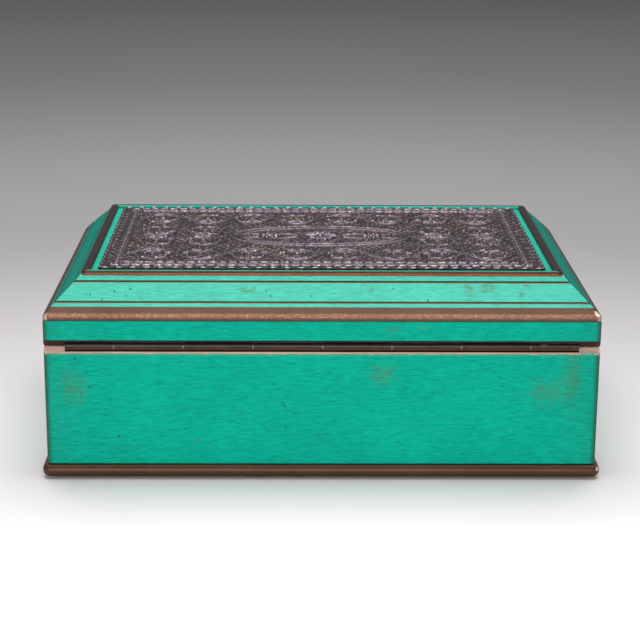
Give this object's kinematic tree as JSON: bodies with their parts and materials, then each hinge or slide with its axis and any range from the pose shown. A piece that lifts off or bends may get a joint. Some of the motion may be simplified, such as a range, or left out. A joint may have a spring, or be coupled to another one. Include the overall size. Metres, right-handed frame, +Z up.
{
  "type": "cash box",
  "caption": "Painted wooden cash box with a hinged, sloped lid holding a relief panel, a lift-out till tray and a box lock with its key.",
  "frame": {"origin": "centre of the underside, on the surface that the box stands on", "axes": "+Z up, -Y towards the lock at the front, +Y towards the strip hinge at the rear, +X to the right seen from the front"},
  "size_m": [0.2406, 0.1936, 0.0885],
  "materials": {
    "green_paint": "brushed jade-green paint, worn at the edges",
    "copper_paint": "copper-brown paint, rubbed on the crests",
    "relief_metal": "embossed sheet with a dark patina",
    "hinge_bronze": "oxidised bronze",
    "lock_brass": "aged brass",
    "screw_steel": "dull slotted steel",
    "key_steel": "handled steel",
    "felt": "green baize",
    "tray_wood": "oiled wood",
    "tab_leather": "worn leather"
  },
  "bodies": {
    "case": {"base_felt": "felt", "base_board": "copper_paint", "base_screws": "screw_steel", "floor_lining": "felt", "tray_runner_left": "tray_wood", "tray_runner_right": "tray_wood", "hinge_case_leaf": "hinge_bronze", "hinge_pin": "hinge_bronze", "hinge_case_screws": "screw_steel", "lock_plate": "lock_brass", "lock_cap": "lock_brass", "lock_drill_pin": "lock_brass", "lock_spring": "screw_steel", "lock_screws": "screw_steel", "keyhole_escutcheon": "lock_brass", "escutcheon_pins": "lock_brass", "case_front_wall": "green_paint", "case_rear_wall": "green_paint", "case_left_wall": "green_paint", "case_right_wall": "green_paint"},
    "lid": {"hinge_lid_leaf": "hinge_bronze", "hinge_lid_screws": "screw_steel", "hook_plate": "lock_brass", "hook_plate_screws": "screw_steel", "lid_top_board": "green_paint", "lid_lining": "felt", "relief_panel": "relief_metal", "lid_front_rail": "green_paint", "lid_front_band": "copper_paint", "lid_front_slope": "green_paint", "top_front_bead": "copper_paint", "lid_rear_rail": "green_paint", "lid_rear_band": "copper_paint", "lid_rear_slope": "green_paint", "top_rear_bead": "copper_paint", "lid_left_rail": "green_paint", "lid_left_band": "copper_paint", "lid_left_slope": "green_paint", "top_left_bead": "copper_paint", "lid_right_rail": "green_paint", "lid_right_band": "copper_paint", "lid_right_slope": "green_paint", "top_right_bead": "copper_paint"},
    "tray": {"tray_floor": "tray_wood", "tray_front": "tray_wood", "tray_rear": "tray_wood", "tray_left": "tray_wood", "tray_right": "tray_wood", "tray_dividers": "tray_wood", "tray_tabs": "tab_leather"},
    "bolt": {"lock_bolt": "lock_brass"},
    "key": {"key": "key_steel"}
  },
  "joints": [
    {"name": "lid_hinge", "type": "hinge", "parent": "case", "child": "lid", "pos_m": [0, 0.08, 0.05855], "axis": [-1, 0, 0], "range_deg": [0, 105]},
    {"name": "tray_lift", "type": "slide", "parent": "case", "child": "tray", "axis": [0, 0, 1], "range_m": [0, 0.018]},
    {"name": "key_turn", "type": "hinge", "parent": "case", "child": "key", "pos_m": [0, -0.082, 0.046], "axis": [0, 1, 0], "range_deg": [0, 60]},
    {"name": "bolt_slide", "type": "slide", "parent": "case", "child": "bolt", "axis": [-1, 0, 0], "range_m": [0, 0.005]}
  ],
  "couplings": [
    {"joint": "key_turn", "follows": "bolt_slide", "rad_per_m": 209.4}
  ]
}
